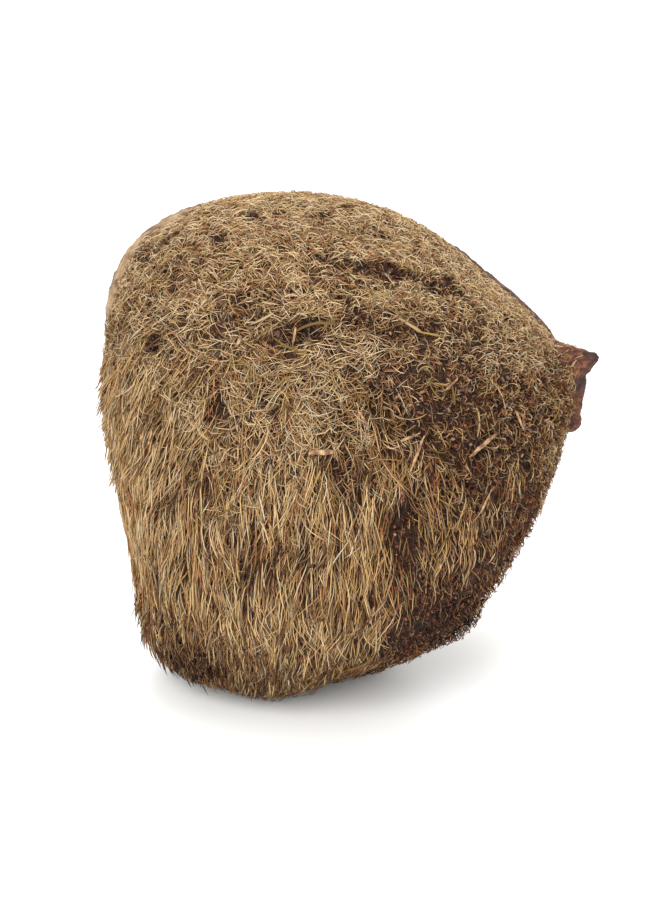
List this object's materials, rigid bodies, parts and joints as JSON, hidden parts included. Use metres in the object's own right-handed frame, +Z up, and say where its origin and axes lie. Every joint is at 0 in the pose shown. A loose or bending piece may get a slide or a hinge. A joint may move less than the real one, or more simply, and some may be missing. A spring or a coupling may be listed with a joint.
{
  "type": "coconut",
  "caption": "Weathered coconut with a coat of coarse brown fibre, a plump lopsided husk with a short woody beak on one side, standing on a worn flat spot.",
  "frame": {"origin": "on the floor, below the middle of the bounding box", "axes": "+X to the side with the woody beak, +Y to the back, +Z up; the face that is usually shown looks along -Y"},
  "size_m": [0.1152, 0.089, 0.1196],
  "materials": {
    "coir_husk": "matte, fibrous"
  },
  "bodies": {
    "root": {"coconut": "coir_husk"}
  },
  "joints": []
}
